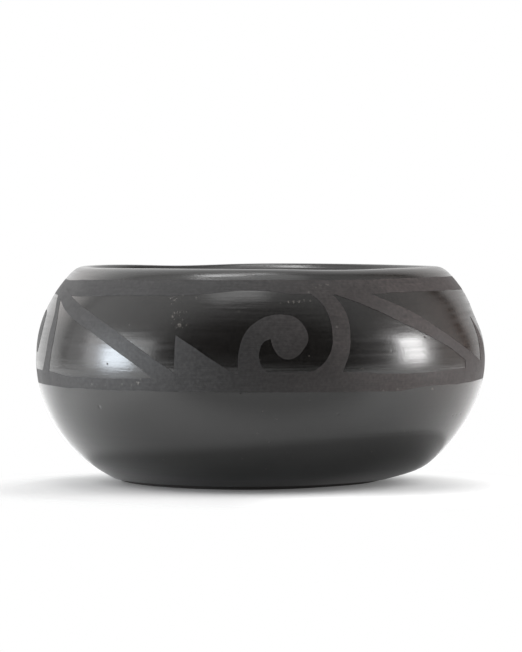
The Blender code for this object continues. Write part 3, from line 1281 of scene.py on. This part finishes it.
@dataclass
class Studio:
    """A pale table top in a light room that is dark behind the camera, with soft lamps.

    The depth ramp runs from the camera's side to the back. The edges are dark upright strips in
    the room, by azimuth. The shades are painted shadow and painted light in the table top, as the bowl mirrors it.
    """

    floor_size: float = 1.6
    # painted shade: the table top that the camera sees is darker on the left than on the right, turning across
    # seen_span
    seen_hexes: tuple[str, str] = ("#acacac", "#d0d0d0")
    seen_span: Pair = (-0.02, 0.05)
    # painted light: the table top that the bowl mirrors and that bounces light has its own colour, apart from the
    # one the camera sees
    floor_hex: str = "#cfcfcf"
    # painted glow: the table top glows faintly, more to the camera, which lifts its shadows
    mirrored_and_seen_lift: Pair = (0.065, 0.09)
    # painted shade: the camera's table top darkens towards the front and lightens behind, which draws the bowl's
    # shadow out
    front_shade_span: Pair = (-0.13, 0.05)
    front_shade_shares: Pair = (0.80, 1.08)
    clear_middle: Pair = (0.0, -0.05)
    clear_span: Pair = (0.12, 0.165)
    # painted shadows and painted pools of light in the mirrored table top: darker under the bowl, in front and to
    # the right, lighter to the left
    shades: tuple[FloorShade, ...] = (
        FloorShade((0.012, 0.004), 0.105, 0.118, 0.54),
        FloorShade((0.000, 0.000), 0.082, 0.096, 1.25),
        FloorShade((0.048, -0.026), 0.040, 0.072, 0.55),
        FloorShade((0.040, -0.400), 0.230, 0.300, 0.60),
        FloorShade((0.450, -0.950), 0.440, 0.590, 0.30),
        FloorShade((0.450, 0.050), 0.150, 0.300, 0.88),
        FloorShade((-0.245, -0.090), 0.070, 0.150, 1.24),
        FloorShade((-0.420, -0.330), 0.100, 0.240, 1.25),
    )
    side_span: Pair = (-0.5, 0.5)
    side_shares: Pair = (1.25, 0.68)
    depth: Ramp = Ramp(
        (
            *((-1.00, 0.0), (-0.78, 0.02), (-0.68, 0.12), (-0.60, 0.35), (-0.50, 0.60)),
            *((-0.40, 0.85), (-0.10, 1.00), (0.50, 1.05), (0.75, 1.25), (1.00, 1.10)),
        )
    )
    edges: Ramp = Ramp(
        (
            *((-180, 1.00), (-127, 1.00), (-120, 0.36), (-113, 1.00), (116, 1.00), (124, 0.82)),
            *((129, 0.50), (131, 0.06), (135.5, 0.03), (139, 0.72), (144, 1.00), (180, 1.00)),
        )
    )
    aim: tuple[float, float, float] = (0.0, 0.0, 0.06)
    lamps: tuple[Softbox, ...] = (
        Softbox("left_softbox", -74.5, 1.4, 1.0, 0.32, 0.36, 16.0, colour_hex="#e9f4ff"),
        Softbox("left_softbox_spill", -75, 6.5, 1.05, 0.80, 0.50, 2.9),
        Softbox("right_softbox", 80.7, 9.8, 1.0, 0.28, 0.37, 16.1),
        Softbox("right_softbox_spill", 82, 12, 1.05, 0.60, 0.55, 1.3),
        Softbox("top_softbox", -88, 78, 1.25, 0.32, 0.13, 10.5),
        Softbox("top_softbox_front", -20, 63, 1.25, 0.48, 0.30, 1.9),
        Softbox("top_softbox_glint", -12, 68, 1.25, 0.26, 0.12, 1.8),
        Softbox("top_softbox_rear", 180, 83.5, 1.26, 0.20, 0.14, 6.0),
        Softbox("top_softbox_spill", -36, 81.6, 1.27, 0.90, 0.40, 1.2),
        Softbox("ceiling_bounce", 0, 90, 1.5, 2.0, 2.0, 1.6, mirrored=False),
        Softbox("left_bounce", -85, 38, 1.3, 0.8, 0.8, 8.0, mirrored=False),
        Softbox("right_bounce", 85, 38, 1.3, 0.8, 0.8, 6.5, mirrored=False),
    )

    def build(self) -> None:
        """Lay the table top, hang the lamps and light the room."""
        self.lay_floor()
        for lamp in self.lamps:
            lamp.build(Vector(self.aim))
        self.light_room()

    def lay_floor(self) -> None:
        """Lay the table top."""
        bpy.ops.object.select_all(action="DESELECT")
        bpy.ops.mesh.primitive_plane_add(size=self.floor_size)
        floor = bpy.context.object
        floor.name = floor.data.name = "table_top"
        finish = bpy.data.materials.new("white_table_top")
        nodes = Nodes(finish)
        nodes.add("OutputMaterial", self.add_table_shader(nodes))
        floor.data.materials.append(finish)

    def add_table_shader(self, nodes: Nodes) -> Source:
        """Add the table top's shader: white to the camera away from the bowl, and lit near it, with painted shade,
        painted light and a painted glow.

        Args:
            nodes: the table top's nodes.

        Returns:
            The shader.
        """
        seen = nodes.add("LightPath").outputs["Is Camera Ray"]
        away = nodes.add("VectorMath", nodes.place, (*self.clear_middle, 0.0), operation="DISTANCE")
        clear = nodes.add("MapRange", away, *self.clear_span, **SMOOTH)
        sides = nodes.add("SeparateXYZ", nodes.place)
        # painted shade across the table top, darker on the left
        right = nodes.add("MapRange", sides.outputs["X"], *self.seen_span, **SMOOTH)
        seen_side_shade = nodes.add("Mix", right, *(linear(colour) for colour in self.seen_hexes), **COLOURS)
        # painted shade, darker towards the front
        far = nodes.add("MapRange", sides.outputs["Y"], *self.front_shade_span, *self.front_shade_shares, **SMOOTH)
        seen_ground = nodes.add("VectorMath", seen_side_shade, far, operation="SCALE")
        # painted shadows and pools of light, which only mirrored and bounced light sees
        shade = nodes.fold("MULTIPLY", *(spot.add_mask(nodes) for spot in self.shades))
        mirrored_shaded_ground = nodes.add("VectorMath", linear(self.floor_hex)[:3], shade, operation="SCALE")
        ground = nodes.add("Mix", seen, mirrored_shaded_ground, seen_ground, **COLOURS)
        # painted glow that lifts the table top's shadows
        lift = nodes.add("MapRange", seen, 0.0, 1.0, *self.mirrored_and_seen_lift)
        glow = nodes.add("Emission", Strength=lift)
        near = nodes.add("AddShader", nodes.add("BsdfDiffuse", ground), glow)
        white = nodes.add("Emission", Strength=1.0)
        return nodes.add("MixShader", nodes.fold("MULTIPLY", clear, seen), near, white)

    def light_room(self) -> None:
        """Light the room: a bright backdrop, pale walls, and darkness where the camera stands."""
        world = bpy.data.worlds.new("light_room")
        bpy.context.scene.world = world
        nodes = Nodes(world, "Generated")
        sides = nodes.add("SeparateXYZ", nodes.place)
        across, along = sides.outputs["X"], sides.outputs["Y"]
        share = nodes.add("MapRange", across, *self.side_span, *self.side_shares)
        azimuth = nodes.add("Math", across, nodes.fold("MULTIPLY", along, -1.0), operation="ARCTAN2")
        degrees = nodes.add("Math", azimuth, operation="DEGREES")
        room = nodes.fold("MULTIPLY", self.depth.add(nodes, along), share, self.edges.add(nodes, degrees))
        seen = nodes.add("LightPath").outputs["Is Camera Ray"]
        shown = nodes.add("Mix", seen, room, 1.0, data_type="FLOAT")
        nodes.add("OutputWorld", nodes.add("Background", linear("#ffffff"), shown))


@dataclass
class PhotoCamera:
    """The camera as it stood for the photograph: level with the rim and far back."""

    location: tuple[float, float, float] = (0.0005, -2.2794, 0.1487)
    tilt_deg: float = 88.284
    focal_pixels: float = 4430.0
    sensor: float = 36.0
    clip: Pair = (0.05, 50.0)

    def build(self) -> None:
        """Stand the camera up and make it the scene's own."""
        bpy.ops.object.camera_add(location=self.location, rotation=(math.radians(self.tilt_deg), 0, 0))
        camera = bpy.context.object
        camera.name = camera.data.name = "photo_camera"
        camera.data.sensor_width = self.sensor
        camera.data.lens = self.focal_pixels * self.sensor / max(IMAGE_WIDTH, IMAGE_HEIGHT)
        camera.data.clip_start, camera.data.clip_end = self.clip
        camera.data.dof.use_dof = False
        bpy.context.scene.camera = camera


def main() -> None:
    """Build the bowl, the studio and the camera in order."""
    logging.basicConfig(level=logging.INFO, format="%(name)s: %(message)s")
    bpy.context.scene.view_settings.view_transform = "Standard"
    wall = Wall()
    clay = SmokedClay().material()
    slip = BurnishedSlip().material()
    paint = MatteSlip().material()
    ClayBody(wall, clay).build()
    BurnishedSkin(wall, slip).build()
    Painting(Brush(wall, paint)).build()
    Studio().build()
    PhotoCamera().build()


if __name__ == "__main__":
    main()
